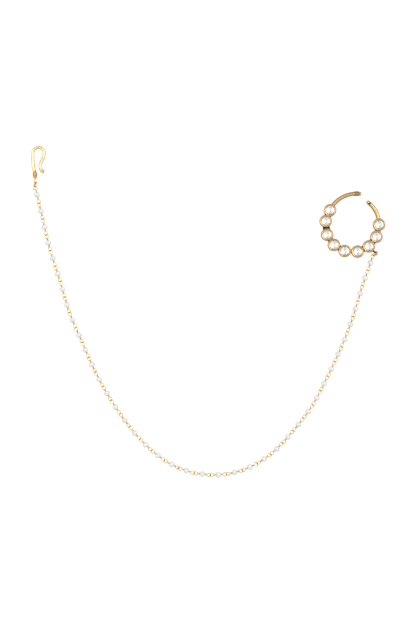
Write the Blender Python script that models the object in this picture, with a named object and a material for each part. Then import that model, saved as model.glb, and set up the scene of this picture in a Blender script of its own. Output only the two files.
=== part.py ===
"""Bridal nose ring with a pearl chain and a hair hook, lying flat on its back.

Metres, +Z up. The hoop's front faces up. The model is built round the hoop's
centre and then moved, so that the middle of its underside is the origin.
"""

import math

import bmesh
import bpy
from mathutils import Matrix, Vector

# The hoop: round closed-back settings, soldered side by side on an open circle
HOOP_RADIUS = 0.01204
FIRST_SETTING_ANGLE = math.radians(145.8)
LAST_SETTING_ANGLE = math.radians(361.4)
PITCH_SHARES = (0.94, 1.09, 0.98, 0.99, 1.03, 1.0, 0.98, 0.99)
SETTING_RADIUS = 0.0028
SETTING_HEIGHT = 0.0026
SETTING_SIDES = 16
RIM_WIDTH = 0.00066
SEAT_DEPTH = 0.0015

# Dark bars that join each setting to the next, below the rims
BRIDGE_WIDTH = 0.0031
BRIDGE_HEIGHT = 0.0013
BRIDGE_LIFT = 0.0005

# Round cut stones
STONE_GAP = 0.00012
STONE_SIDES = 16
TABLE_SIDES = 8
TABLE_SHARE = 0.56
STONE_RISE = 0.0006
GIRDLE_HEIGHT = 0.0002

# The two plain arms, which open the hoop at the upper right
ARM_DIAMETER = 0.0018
ARM_ROOT_RADIUS = 0.01205
LEFT_TIP_ANGLE = math.radians(73.5)
LEFT_TIP_RADIUS = 0.0147
RIGHT_TIP_ANGLE = math.radians(418.5)
RIGHT_TIP_RADIUS = 0.0126
ARM_STEP = math.radians(10)
ARM_BEVEL_RESOLUTION = 2
SLEEVE_LENGTH = 0.0034
SLEEVE_GROWTH = 0.00012
TIP_LENGTH = 0.0011
TIP_SHRINK = 0.00008
TIP_DOME_LENGTH = 0.0003
TIP_DOME_SHRINK = 0.0004

# Eyelet on a short lug soldered to one setting, and the jump ring through it
EYELET_SETTING = 7
EYELET_ANGLE = math.radians(-45)
EYELET_RING_RADIUS = 0.00065
EYELET_WIRE = 0.0005
LUG_LENGTH = 0.00105
LUG_WIDTH = 0.0009
JUMP_RING_RADIUS = 0.00085
JUMP_RING_WIRE = 0.0005
JUMP_RING_HEADING = math.radians(-142)
JUMP_RING_LEAN = math.radians(25)
RING_SEGMENTS = 10
RING_SIDES = 5

# The pearl chain: each pearl sits on a pin with an eye at both ends
PEARL_COUNT = 40
PEARL_DIAMETER = 0.003
PEARL_LENGTH = 0.0025
LINK_PITCH = 0.00728
FIRST_PIN_EXTRA = 0.0005
EYE_RADIUS = 0.000885
EYE_WIRE = 0.00038
NECK_DIAMETER = 0.00072
EYE_ROLL = math.radians(30)
EYE_SECTIONS = 10
WIRE_SIDES = 5
PEARL_SIDES = 10
EYE_OVERLAP = 0.00007
PIECE_GAP = 0.0001
END_CLEARANCE = 0.00006

# How far the lying chain strays sideways from a plain catenary, hook to hoop
CHAIN_SWAY = (
    0.0, -0.00005, -0.0004, 0.0001, -0.0004, 0.0003, 0.0002,
    0.00035, 0.0003, 0.0, -0.0003, -0.0001, -0.0005, -0.0005,
    0.0001, -0.0002, 0.0003, 0.0002, 0.0002, 0.0007, 0.0,
)

# The hair hook, and where its eye lies from the hoop's centre
HOOK_REACH = 0.1423
HOOK_RISE = 0.0178
HOOK_WIRE = 0.0014
HOOK_HEIGHT = 0.0166
BIGHT_RADIUS = 0.0026
BIGHT_ACROSS = 0.00137
HOOK_COLLAR_DIAMETER = 0.0019
HOOK_COLLAR_HEIGHT = 0.0049
HOOK_COLLAR_LENGTH = 0.0034
HOOK_NECK_DIAMETER = 0.00095
HOOK_EYE_RADIUS = 0.000675
HOOK_EYE_WIRE = 0.00055
HOOK_POINTS = 23
HOOK_BEVEL_RESOLUTION = 1
# Points of the shank and of the return leg: x as a share of the bight's
# radius, y as a share of the hook's height
SHANK_POINTS = ((-0.05, 0.0), (-0.05, 0.11), (-0.085, 0.27), (-0.24, 0.39), (-0.4, 0.51), (-0.48, 0.7))
RETURN_POINTS = ((1.42, 0.75), (1.11, 0.643), (0.86, 0.545), (0.85, 0.45), (1.04, 0.377), (1.5, 0.315))
BIGHT_STEPS = 6

CHAIN_HEIGHT = PEARL_DIAMETER / 2
WELD_DISTANCE = 0.000001
UP = Vector((0, 0, 1))


def clear_scene():
    for obj in list(bpy.data.objects):
        bpy.data.objects.remove(obj, do_unlink=True)


def new_collection(name):
    collection = bpy.data.collections.new(name)
    bpy.context.scene.collection.children.link(collection)
    return collection


def make_material(name, colour, metallic, roughness):
    material = bpy.data.materials.new(name)
    material.use_nodes = True
    shader = material.node_tree.nodes["Principled BSDF"]
    shader.inputs["Base Color"].default_value = (*colour, 1)
    shader.inputs["Metallic"].default_value = metallic
    shader.inputs["Roughness"].default_value = roughness
    return material


def make_object(name, mesh, collection, materials=()):
    obj = bpy.data.objects.new(name, mesh)
    for material in materials:
        mesh.materials.append(material)
    collection.objects.link(obj)
    return obj


def mesh_from(bm, name):
    """Turn a bmesh into a mesh with outward faces, and free it."""
    bmesh.ops.recalc_face_normals(bm, faces=bm.faces)
    mesh = bpy.data.meshes.new(name)
    bm.to_mesh(mesh)
    bm.free()
    return mesh


def smooth(obj, angle=math.radians(40)):
    obj.data.shade_smooth()
    obj.data.set_sharp_from_angle(angle=angle)


def as_mesh_object(curve_object, collection):
    """Replace a curve object by a mesh object with its caps welded on."""
    graph = bpy.context.evaluated_depsgraph_get()
    mesh = bpy.data.meshes.new_from_object(curve_object.evaluated_get(graph))
    bm = bmesh.new()
    bm.from_mesh(mesh)
    bmesh.ops.remove_doubles(bm, verts=bm.verts, dist=WELD_DISTANCE)
    bm.to_mesh(mesh)
    bm.free()
    obj = make_object(curve_object.name + "_mesh", mesh, collection)
    obj.matrix_world = curve_object.matrix_world
    bpy.data.objects.remove(curve_object, do_unlink=True)
    return obj


def wire_object(name, points, radii, bevel_resolution, collection):
    """A round wire through the points, with a radius at each."""
    curve = bpy.data.curves.new(name, "CURVE")
    curve.dimensions = "3D"
    curve.bevel_depth = 1
    curve.bevel_resolution = bevel_resolution
    curve.use_fill_caps = True
    spline = curve.splines.new("POLY")
    spline.points.add(len(points) - 1)
    for spot, place, radius in zip(spline.points, points, radii):
        spot.co = (*place, 1)
        spot.radius = radius
    obj = bpy.data.objects.new(name, curve)
    collection.objects.link(obj)
    return as_mesh_object(obj, collection)


def ring_object(name, centre, axis, radius, wire, collection):
    """A closed wire ring round an axis."""
    bpy.ops.mesh.primitive_torus_add(
        major_radius=radius,
        minor_radius=wire / 2,
        major_segments=RING_SEGMENTS,
        minor_segments=RING_SIDES,
        location=centre,
        rotation=UP.rotation_difference(axis).to_euler(),
    )
    obj = bpy.context.object
    obj.name = name
    for other in obj.users_collection:
        other.objects.unlink(obj)
    collection.objects.link(obj)
    return obj


def boolean(target, tool, operation):
    modifier = target.modifiers.new(operation.lower(), "BOOLEAN")
    modifier.operation = operation
    modifier.object = tool
    modifier.solver = "EXACT"


def apply_modifiers(obj):
    """Bake an object's modifiers into its mesh."""
    graph = bpy.context.evaluated_depsgraph_get()
    mesh = bpy.data.meshes.new_from_object(obj.evaluated_get(graph))
    obj.modifiers.clear()
    obj.data = mesh


def remove_objects(objects):
    for obj in objects:
        bpy.data.objects.remove(obj, do_unlink=True)


def polar(radius, angle, height=0.0):
    return Vector((radius * math.cos(angle), radius * math.sin(angle), height))


def setting_angles():
    """Angles of the settings about the hoop's centre."""
    span = LAST_SETTING_ANGLE - FIRST_SETTING_ANGLE
    total = sum(PITCH_SHARES)
    angles = [FIRST_SETTING_ANGLE]
    for share in PITCH_SHARES:
        angles.append(angles[-1] + span * share / total)
    return angles


def add_drum(bm, centre, radius, bottom, top):
    """A 16-sided drum standing between two heights."""
    place = Matrix.Translation(centre + UP * (bottom + top) / 2)
    bmesh.ops.create_cone(
        bm,
        cap_ends=True,
        segments=SETTING_SIDES,
        radius1=radius,
        radius2=radius,
        depth=top - bottom,
        matrix=place,
    )


def drums(name, angles, radius, bottom, top, collection):
    bm = bmesh.new()
    for angle in angles:
        add_drum(bm, polar(HOOP_RADIUS, angle), radius, bottom, top)
    return make_object(name, mesh_from(bm, name), collection)


def bridges(angles, collection):
    """Bars between neighbouring settings, square to the line between them."""
    bm = bmesh.new()
    for first, second in zip(angles, angles[1:]):
        chord = polar(HOOP_RADIUS, second) - polar(HOOP_RADIUS, first)
        middle = (polar(HOOP_RADIUS, second) + polar(HOOP_RADIUS, first)) / 2
        length = chord.length - 2 * (SETTING_RADIUS - RIM_WIDTH)
        turn = Matrix.Rotation(math.atan2(chord.y, chord.x), 4, "Z")
        size = Matrix.Diagonal((length, BRIDGE_WIDTH, BRIDGE_HEIGHT, 1))
        lift = UP * (BRIDGE_LIFT + BRIDGE_HEIGHT / 2)
        bmesh.ops.create_cube(bm, size=1, matrix=Matrix.Translation(middle + lift) @ turn @ size)
    return make_object("bridges", mesh_from(bm, "bridges"), collection)


def arm(name, root_angle, tip_angle, tip_radius, end_shape, collection):
    """A wire that leaves a setting's middle and swings out to its free tip."""
    points = []
    count = round(abs(tip_angle - root_angle) / ARM_STEP)
    for step in range(count + 1):
        share = step / count
        radius = ARM_ROOT_RADIUS + (tip_radius - ARM_ROOT_RADIUS) * share
        points.append(polar(radius, root_angle + (tip_angle - root_angle) * share, SETTING_HEIGHT / 2))
    tip = points.pop()
    back = (points[-1] - tip).normalized()
    radii = [ARM_DIAMETER / 2] * len(points)
    for distance, growth in end_shape:
        points.append(tip + back * distance)
        radii.append(ARM_DIAMETER / 2 + growth)
    keep = [i for i, spot in enumerate(points[:-len(end_shape)])
            if (spot - tip).length > end_shape[0][0] * 1.15]
    order = keep + list(range(len(points) - len(end_shape), len(points)))
    return wire_object(name, [points[i] for i in order], [radii[i] for i in order],
                       ARM_BEVEL_RESOLUTION, collection)


def sleeve_end():
    """Distances back from the tip, and the growth of the wire's radius there."""
    step = TIP_SHRINK
    return (
        (SLEEVE_LENGTH, 0.0),
        (SLEEVE_LENGTH - step, SLEEVE_GROWTH),
        (TIP_LENGTH, SLEEVE_GROWTH),
        (TIP_LENGTH - step, -TIP_SHRINK),
        (TIP_DOME_LENGTH, -TIP_SHRINK),
        (0.0, -TIP_DOME_SHRINK),
    )


def grooved_end():
    step = TIP_SHRINK
    return (
        (TIP_LENGTH + 3 * step, 0.0),
        (TIP_LENGTH + 2 * step, -TIP_SHRINK * 1.5),
        (TIP_LENGTH, -TIP_SHRINK * 1.5),
        (TIP_LENGTH - step, 0.0),
        (TIP_DOME_LENGTH, 0.0),
        (0.0, -TIP_DOME_SHRINK),
    )


def eyelet_centre(angles):
    setting = polar(HOOP_RADIUS, angles[EYELET_SETTING - 1], CHAIN_HEIGHT)
    reach = SETTING_RADIUS + LUG_LENGTH + EYELET_RING_RADIUS
    return setting + polar(reach, EYELET_ANGLE)


def lug(angles, collection):
    """The bar from the setting's wall to the eyelet's wire."""
    bm = bmesh.new()
    length = LUG_LENGTH + RIM_WIDTH / 2
    away = EYELET_RING_RADIUS + length / 2
    turn = Matrix.Rotation(EYELET_ANGLE, 4, "Z")
    size = Matrix.Diagonal((length, LUG_WIDTH, EYELET_WIRE, 1))
    place = eyelet_centre(angles) - polar(away, EYELET_ANGLE)
    bmesh.ops.create_cube(bm, size=1, matrix=Matrix.Translation(place) @ turn @ size)
    return make_object("lug", mesh_from(bm, "lug"), collection)


def make_hoop(angles, collection, cutters, gold):
    """Settings, bridges, arms and eyelet, soldered into one solid."""
    hoop = drums("hoop", angles[::2], SETTING_RADIUS, 0, SETTING_HEIGHT, collection)
    seat_radius = SETTING_RADIUS - RIM_WIDTH
    seats = drums("seats", angles, seat_radius, SETTING_HEIGHT - SEAT_DEPTH,
                  SETTING_HEIGHT + SEAT_DEPTH, cutters)
    tools = [
        drums("even_settings", angles[1::2], SETTING_RADIUS, 0, SETTING_HEIGHT, cutters),
        bridges(angles, cutters),
        arm("left_arm", angles[0], LEFT_TIP_ANGLE, LEFT_TIP_RADIUS, sleeve_end(), cutters),
        arm("right_arm", angles[-1], RIGHT_TIP_ANGLE, RIGHT_TIP_RADIUS, grooved_end(), cutters),
        lug(angles, cutters),
        ring_object("eyelet", eyelet_centre(angles), UP, EYELET_RING_RADIUS, EYELET_WIRE, cutters),
    ]
    for tool in tools:
        boolean(hoop, tool, "UNION")
    boolean(hoop, seats, "DIFFERENCE")
    apply_modifiers(hoop)
    hoop.data.materials.clear()
    hoop.data.materials.append(gold)
    remove_objects(tools + [seats])
    smooth(hoop)
    return hoop


def circle_points(radius, height, sides, offset=0.0):
    return [polar(radius, math.tau * (i + offset) / sides, height) for i in range(sides)]


def stone_mesh():
    """A round cut: eight-sided table, kite-like crown, girdle and pointed back."""
    radius = SETTING_RADIUS - RIM_WIDTH - STONE_GAP
    seat = SETTING_HEIGHT - SEAT_DEPTH + STONE_GAP
    girdle_top = SETTING_HEIGHT
    bm = bmesh.new()
    points = [Vector((0, 0, seat))]
    points += circle_points(radius, girdle_top - GIRDLE_HEIGHT, STONE_SIDES)
    points += circle_points(radius, girdle_top, STONE_SIDES)
    points += circle_points(radius * TABLE_SHARE, girdle_top + STONE_RISE, TABLE_SIDES)
    verts = [bm.verts.new(point) for point in points]
    bmesh.ops.convex_hull(bm, input=verts)
    return mesh_from(bm, "stone")


def make_stones(angles, collection, crystal):
    mesh = stone_mesh()
    mesh.materials.append(crystal)
    for number, angle in enumerate(angles, start=1):
        stone = make_object(f"stone_{number}", mesh, collection)
        stone.location = polar(HOOP_RADIUS, angle)
        stone.rotation_euler.z = angle


def jump_ring_heading():
    return polar(1, JUMP_RING_HEADING)


def jump_ring_far_side(angles):
    """Where the chain's last eye hangs on the jump ring."""
    return eyelet_centre(angles) + jump_ring_heading() * 2 * JUMP_RING_RADIUS


def make_jump_ring(angles, collection, gold):
    heading = jump_ring_heading()
    axis = Matrix.Rotation(JUMP_RING_LEAN, 3, heading) @ heading.cross(UP)
    centre = eyelet_centre(angles) + heading * JUMP_RING_RADIUS
    ring = ring_object("jump_ring", centre, axis, JUMP_RING_RADIUS, JUMP_RING_WIRE, collection)
    ring.data.materials.append(gold)
    smooth(ring)
    return ring


def bisect_root(function, low, high):
    for _ in range(200):
        middle = (low + high) / 2
        if function(middle) > 0:
            low = middle
        else:
            high = middle
    return (low + high) / 2


class Catenary:
    """The plain curve of a slack chain between two points of the XY plane."""

    def __init__(self, start, end, length):
        across = end.x - start.x
        rise = end.y - start.y
        flat = math.sqrt(length ** 2 - rise ** 2)
        self.size = bisect_root(
            lambda a: flat - 2 * a * math.sinh(across / (2 * a)) < 0, across / 100, across * 100
        )
        self.lowest = (start.x + end.x) / 2 - self.size * math.atanh(rise / length)
        self.base = start.y - self.size * math.cosh((start.x - self.lowest) / self.size)
        self.start_arc = self.size * math.sinh((start.x - self.lowest) / self.size)

    def at(self, arc):
        """Place and sideways direction at a length along the curve."""
        slope = (self.start_arc + arc) / self.size
        x = self.lowest + self.size * math.asinh(slope)
        y = self.base + self.size * math.cosh((x - self.lowest) / self.size)
        return Vector((x, y, CHAIN_HEIGHT)), Vector((-slope, 1, 0)).normalized()


def sway_at(share):
    """A smooth curve through the sideways values."""
    place = share * (len(CHAIN_SWAY) - 1)
    index = min(int(place), len(CHAIN_SWAY) - 2)
    part = place - index
    before, low, high, after = (
        CHAIN_SWAY[max(0, min(index + step, len(CHAIN_SWAY) - 1))] for step in (-1, 0, 1, 2)
    )
    slope_low = (high - before) / 2
    slope_high = (after - low) / 2
    return (
        low * (1 + 2 * part) * (1 - part) ** 2
        + slope_low * part * (1 - part) ** 2
        + high * part ** 2 * (3 - 2 * part)
        + slope_high * part ** 2 * (part - 1)
    )


def eye_reach():
    """From an eye's centre to the inner face of its wire, at its far end."""
    half_step = math.pi / EYE_SECTIONS
    return (EYE_RADIUS - EYE_WIRE / 2 * math.cos(math.pi / WIRE_SIDES)) * math.cos(half_step)


def eye_offsets():
    """From each joint of the chain to the eyes' centres beside it."""
    offsets = [eye_reach() + EYE_OVERLAP / 2] * (PEARL_COUNT + 1)
    offsets[PEARL_COUNT // 2] = eye_reach() - PIECE_GAP / 2
    offsets[0] = eye_reach() - HOOK_EYE_WIRE / 2 - END_CLEARANCE
    offsets[-1] = eye_reach() - JUMP_RING_WIRE / 2 - END_CLEARANCE
    return offsets


def chain_joints(start, end, offsets):
    """Joints of the chain, a link's pitch apart along its curve."""
    inner = offsets[1]
    lengths = [LINK_PITCH] * PEARL_COUNT
    lengths[0] -= inner - offsets[0] - FIRST_PIN_EXTRA
    lengths[-1] -= inner - offsets[-1]
    total = sum(lengths)
    curve = Catenary(start, end, total)
    joints = []
    for index in range(PEARL_COUNT + 1):
        arc = sum(lengths[:index])
        place, sideways = curve.at(arc)
        joints.append(place + sideways * sway_at(arc / total))
    return joints


def ring_of_verts(bm, centre, across, up, radius, sides):
    verts = []
    for index in range(sides):
        angle = math.tau * index / sides
        verts.append(bm.verts.new(centre + radius * (math.cos(angle) * across + math.sin(angle) * up)))
    return verts


def skin(bm, first, second, material):
    """Faces between two rings of equal count, or of which one has twice the other's."""
    count = min(len(first), len(second))
    for i in range(count):
        j = (i + 1) % count
        if len(first) == len(second):
            faces = [(first[i], first[j], second[j], second[i])]
        else:
            coarse, fine = (first, second) if len(first) < len(second) else (second, first)
            middle = fine[2 * i + 1]
            faces = [
                (coarse[i], middle, fine[2 * i]),
                (coarse[i], coarse[j], middle),
                (coarse[j], fine[(2 * i + 2) % len(fine)], middle),
            ]
        for face in faces:
            bm.faces.new(face).material_index = material


def eye_sections(centre, outward, side, normal):
    """Wire sections round an eye, from its neck on round to its cut end."""
    sections = []
    for index in range(EYE_SECTIONS):
        angle = math.tau * (index + 0.5) / EYE_SECTIONS
        radial = -math.cos(angle) * outward + math.sin(angle) * side
        sections.append((centre + EYE_RADIUS * radial, radial, normal, EYE_WIRE / 2, WIRE_SIDES))
    return sections


def pearl_sections(centre, axis, side, normal):
    """Sections of the pearl, a ten-sided profile, with the pin's neck at each end."""
    half = PEARL_LENGTH / 2
    radius = PEARL_DIAMETER / 2
    scale = math.cos(math.pi / PEARL_SIDES)
    sections = []
    for step in (-5, -3, -1, 1, 3, 5):
        angle = step * math.pi / PEARL_SIDES
        at_neck = abs(step) == 5
        place = centre + axis * half * math.sin(angle) / (1 if at_neck else scale)
        size = NECK_DIAMETER / 2 if at_neck else radius * math.cos(angle) / scale
        sections.append((place, side, normal, size, WIRE_SIDES if at_neck else PEARL_SIDES))
    return sections


def add_pearl_link(bm, start_eye, end_eye, roll):
    """A pearl on its pin with an eye at each end, as one closed loft."""
    axis = (end_eye - start_eye).normalized()
    side = Matrix.Rotation(roll, 3, axis) @ axis.cross(UP).normalized()
    normal = axis.cross(side)
    sections = eye_sections(start_eye, -axis, side, normal)[::-1]
    first_pearl = len(sections)
    sections += pearl_sections((start_eye + end_eye) / 2, axis, side, normal)
    last_pearl = len(sections) - 1
    sections += eye_sections(end_eye, axis, side, normal)
    rings = [ring_of_verts(bm, *section) for section in sections]
    for index, (first, second) in enumerate(zip(rings, rings[1:])):
        skin(bm, first, second, int(first_pearl <= index < last_pearl))
    bm.faces.new(rings[0][::-1])
    bm.faces.new(rings[-1])


def links_object(name, numbers, joints, offsets, collection, materials):
    bm = bmesh.new()
    for number in numbers:
        first, second = joints[number], joints[number + 1]
        along = (second - first).normalized()
        roll = EYE_ROLL if number % 2 else -EYE_ROLL
        add_pearl_link(bm, first + along * offsets[number], second - along * offsets[number + 1], roll)
    return make_object(name, mesh_from(bm, name), collection, materials)


def make_chain(name, numbers, joints, offsets, collection, cutters, materials):
    """A run of links whose neighbouring eyes meet and are fused."""
    chain = links_object(name, numbers[::2], joints, offsets, collection, materials)
    others = links_object(name + "_between", numbers[1::2], joints, offsets, cutters, materials)
    boolean(chain, others, "UNION")
    apply_modifiers(chain)
    remove_objects([others])
    smooth(chain)
    return chain


def hook_eye_centre():
    return Vector((-HOOK_REACH, HOOK_RISE, CHAIN_HEIGHT))


def hook_eye_far_side():
    """Where the chain's first eye hangs on the hook."""
    return hook_eye_centre() - Vector((0, HOOK_EYE_RADIUS, 0))


def resample(points, count):
    """Evenly spaced points on a smooth curve through the given ones."""
    padded = [2 * points[0] - points[1], *points, 2 * points[-1] - points[-2]]
    fine = []
    for a, b, c, d in zip(padded, padded[1:], padded[2:], padded[3:]):
        for step in range(20):
            t = step / 20
            fine.append(
                0.5 * (2 * b + (c - a) * t + (2 * a - 5 * b + 4 * c - d) * t ** 2
                       + (3 * b - a - 3 * c + d) * t ** 3)
            )
    fine.append(points[-1])
    walked = [0.0]
    for a, b in zip(fine, fine[1:]):
        walked.append(walked[-1] + (b - a).length)
    spots = []
    for index in range(count):
        goal = walked[-1] * index / (count - 1)
        k = max(i for i in range(len(fine) - 1) if walked[i] <= goal + 1e-12)
        share = (goal - walked[k]) / (walked[k + 1] - walked[k])
        spots.append(fine[k].lerp(fine[k + 1], min(share, 1)))
    return spots


def hook_route():
    """The hook's centre line from its eye over the bight to its tip."""
    def spot(pair):
        return Vector((pair[0] * BIGHT_RADIUS, pair[1] * HOOK_HEIGHT))

    top = HOOK_HEIGHT - BIGHT_RADIUS
    bight = []
    for step in range(BIGHT_STEPS + 1):
        angle = math.pi * (1 - step / BIGHT_STEPS)
        bight.append(Vector((BIGHT_ACROSS + BIGHT_RADIUS * math.cos(angle), top + BIGHT_RADIUS * math.sin(angle))))
    flat = [spot(pair) for pair in SHANK_POINTS] + bight + [spot(pair) for pair in RETURN_POINTS]
    eye = hook_eye_centre()
    drop = CHAIN_HEIGHT - HOOK_WIRE / 2
    places = []
    for point in resample(flat, HOOK_POINTS):
        places.append(eye + Vector((point.x, point.y + HOOK_EYE_RADIUS, -drop * point.y / HOOK_HEIGHT)))
    return places


def hook_radius(place, walked):
    """The wire's radius: a slim neck, a swollen collar and the round wire."""
    height = place.y - hook_eye_centre().y
    if walked > HOOK_HEIGHT:
        return HOOK_WIRE / 2
    off_collar = abs(height - HOOK_COLLAR_HEIGHT) / (HOOK_COLLAR_LENGTH / 2)
    plain = HOOK_NECK_DIAMETER / 2 if height < HOOK_COLLAR_HEIGHT else HOOK_WIRE / 2
    if off_collar >= 1:
        return plain
    return plain + (HOOK_COLLAR_DIAMETER / 2 - plain) * math.cos(off_collar * math.pi / 2)


def make_hook(collection, cutters, gold):
    points = hook_route()
    walked = 0.0
    radii = []
    for index, place in enumerate(points):
        if index:
            walked += (place - points[index - 1]).length
        radii.append(hook_radius(place, walked))
    hook = wire_object("hair_hook", points, radii, HOOK_BEVEL_RESOLUTION, collection)
    hook.name = "hair_hook"
    eye = ring_object("hook_eye", hook_eye_centre(), Vector((1, 0, 0)), HOOK_EYE_RADIUS,
                      HOOK_EYE_WIRE, cutters)
    boolean(hook, eye, "UNION")
    apply_modifiers(hook)
    hook.data.materials.clear()
    hook.data.materials.append(gold)
    remove_objects([eye])
    smooth(hook)
    return hook


def seat_on_origin(objects, root):
    """Move the whole so that the middle of its underside is the origin."""
    bpy.context.view_layer.update()
    corners = [obj.matrix_world @ vert.co for obj in objects for vert in obj.data.vertices]
    low = Vector(min(corner[axis] for corner in corners) for axis in range(3))
    high = Vector(max(corner[axis] for corner in corners) for axis in range(3))
    for obj in objects:
        obj.parent = root
    root.location = (-(low.x + high.x) / 2, -(low.y + high.y) / 2, -low.z)


def main():
    clear_scene()
    parts = new_collection("nose_ring")
    cutters = new_collection("cutters")
    old_gold = make_material("old_gold", (0.55, 0.33, 0.12), 1.0, 0.32)
    bright_gold = make_material("bright_gold", (0.85, 0.58, 0.22), 1.0, 0.25)
    pearl = make_material("pearl", (0.86, 0.85, 0.83), 0.0, 0.2)
    crystal = make_material("crystal", (0.9, 0.92, 0.92), 0.0, 0.05)

    angles = setting_angles()
    make_hoop(angles, parts, cutters, old_gold)
    make_stones(angles, parts, crystal)
    make_jump_ring(angles, parts, bright_gold)

    offsets = eye_offsets()
    joints = chain_joints(hook_eye_far_side(), jump_ring_far_side(angles), offsets)
    half = PEARL_COUNT // 2
    runs = {"pearl_chain_a": range(half), "pearl_chain_b": range(half, PEARL_COUNT)}
    for name, numbers in runs.items():
        make_chain(name, numbers, joints, offsets, parts, cutters, (bright_gold, pearl))
    make_hook(parts, cutters, bright_gold)

    root = bpy.data.objects.new("nose_ring_origin", None)
    parts.objects.link(root)
    seat_on_origin([obj for obj in parts.objects if obj.type == "MESH"], root)
    bpy.context.view_layer.update()


main()
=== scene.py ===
"""Looks of the bridal nose ring with a pearl chain and a hair hook.

Metres, +Z up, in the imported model's frame. Each piece repeats the size and
place of the CAD node that it stands for.
"""

import math
import random

import bmesh
import bpy
from mathutils import Matrix, Vector, noise


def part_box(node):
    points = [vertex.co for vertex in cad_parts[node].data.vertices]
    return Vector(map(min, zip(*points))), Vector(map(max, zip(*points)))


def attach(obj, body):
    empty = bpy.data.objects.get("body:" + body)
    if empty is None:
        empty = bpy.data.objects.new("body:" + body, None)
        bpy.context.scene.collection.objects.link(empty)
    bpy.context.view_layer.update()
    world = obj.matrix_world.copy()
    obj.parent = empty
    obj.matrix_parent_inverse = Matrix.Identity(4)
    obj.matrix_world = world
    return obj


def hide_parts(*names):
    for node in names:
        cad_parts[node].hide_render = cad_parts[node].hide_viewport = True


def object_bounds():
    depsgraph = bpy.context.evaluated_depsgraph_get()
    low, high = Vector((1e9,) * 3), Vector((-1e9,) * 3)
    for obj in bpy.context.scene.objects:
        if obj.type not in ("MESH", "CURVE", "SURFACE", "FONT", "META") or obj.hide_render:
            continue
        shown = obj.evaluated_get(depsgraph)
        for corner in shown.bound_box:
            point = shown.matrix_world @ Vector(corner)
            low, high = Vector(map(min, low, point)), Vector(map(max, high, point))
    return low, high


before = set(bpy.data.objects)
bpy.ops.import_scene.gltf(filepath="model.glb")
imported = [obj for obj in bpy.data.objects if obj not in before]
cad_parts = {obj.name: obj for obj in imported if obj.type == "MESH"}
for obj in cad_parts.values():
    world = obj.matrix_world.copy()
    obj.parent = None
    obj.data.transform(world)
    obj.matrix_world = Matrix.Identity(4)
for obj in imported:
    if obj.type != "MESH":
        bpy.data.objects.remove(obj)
CAD_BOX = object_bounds()

# The hoop and its settings
HOOP_RADIUS = 0.01204
FIRST_SETTING_ANGLE = math.radians(145.8)
LAST_SETTING_ANGLE = math.radians(361.4)
PITCH_SHARES = (0.94, 1.09, 0.98, 0.99, 1.03, 1.0, 0.98, 0.99)
SETTING_RADIUS = 0.0028
SETTING_HEIGHT = 0.0026
SETTING_SEGMENTS = 72
RIM_WIDTH = 0.00066
SEAT_DEPTH = 0.0015
LIP_RISE = 0.00006

# The settings' section, from the foot out and up, over the lip, and down to the
# seat: (edge, radius from it, level, height from it)
SETTING_SECTION = (
    ("axis", 0.0006, "foot", 0.0),
    ("wall", -0.0004, "foot", 0.0),
    ("wall", -0.00014, "foot", 0.00004),
    ("wall", -0.00003, "foot", 0.0002),
    ("wall", -0.00003, "foot", 0.0012),
    ("wall", -0.00001, "foot", 0.0021),
    ("wall", 0.0, "lip", -0.00032),
    ("wall", -0.00004, "lip", -0.00014),
    ("wall", -0.00014, "lip", -0.00003),
    ("wall", -0.00024, "lip", 0.0),
    ("wall", -0.00036, "lip", -0.00002),
    ("stone", 0.00008, "lip", -0.00006),
    ("stone", -0.00004, "lip", -0.0001),
    ("stone", -0.000055, "lip", -0.00016),
    ("stone", -0.00005, "lip", -0.00022),
    ("stone", 0.0, "lip", -0.0003),
    ("stone", 0.0, "seat", 0.0),
    ("axis", 0.0006, "seat", 0.0),
)

# How far hammered metal strays from round, and its noise's cells for each metre
HAND_WORK = 0.00003
HAND_WORK_ROUND = 700
HAND_WORK_RISE = 900

# Bars between the settings: width, and how dark each is
BRIDGE_LIFT = 0.0005
BRIDGE_HEIGHT = 0.0013
BRIDGE_WIDTHS = (0.0031, 0.0031, 0.0026, 0.0026, 0.0018, 0.0028, 0.003, 0.0028)
BRIDGE_DARKNESS = (0.95, 1.0, 0.85, 0.9, 0.15, 0.85, 0.85, 0.5)
BRIDGE_CORNER_SHARE = 0.3
BRIDGE_CORNER_STEPS = 4
BRIDGE_SECTIONS = 6
SOLDER_REACH = 0.0008

# Stones
STONE_GAP = 0.00012
STONE_RISE = 0.0006
TABLE_SHARE = 0.56
STAR_SHARE = 0.88
STAR_RISE_SHARE = 0.6
CROWN_SIDES = 8
GIRDLE_HEIGHT = 0.0002
FOIL_DROP = 0.00026
FOIL_RING_SHARE = 0.45
FOIL_RING_DROP_SHARE = 0.5

# How far a stone is turned and tilted in its setting, in radians
STONE_TURN = 0.1
STONE_TILT = 0.03

# How dull the foils are at random, and the painted reflections: two duller fans above and below the middle
FOIL_TONES = (0.0, 0.08)
FAN_REFLECTION_TONES = (0.1, 0.3)
FAN_START_SHARE = 0.4
FAN_WIDTH_SHARE = 0.3

# Arms
ARM_DIAMETER = 0.0018
ARM_ROOT_RADIUS = 0.01205
LEFT_TIP_ANGLE = math.radians(73.5)
LEFT_TIP_RADIUS = 0.0147
RIGHT_TIP_ANGLE = math.radians(418.5)
RIGHT_TIP_RADIUS = 0.0126
ARM_STEPS = 110
ARM_SIDES = 28
SLEEVE_LENGTH = 0.0034
SLEEVE_GROWTH = 0.00012
TIP_LENGTH = 0.0011
TIP_SHRINK = 0.00008
GROOVE_LENGTH = 0.0006
GROOVE_DEPTH_SHARE = 1.5
GROOVE_STAIN_SHARE = 0.7
SEAM_WIDTH = 0.00018
SEAM_DEPTH = 0.00004
LEFT_SEAM = 0.0084
RIGHT_SEAM = 0.0061
TIP_DOME_SHARE = 0.8
TIP_POINT_SHARE = 0.03

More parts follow.
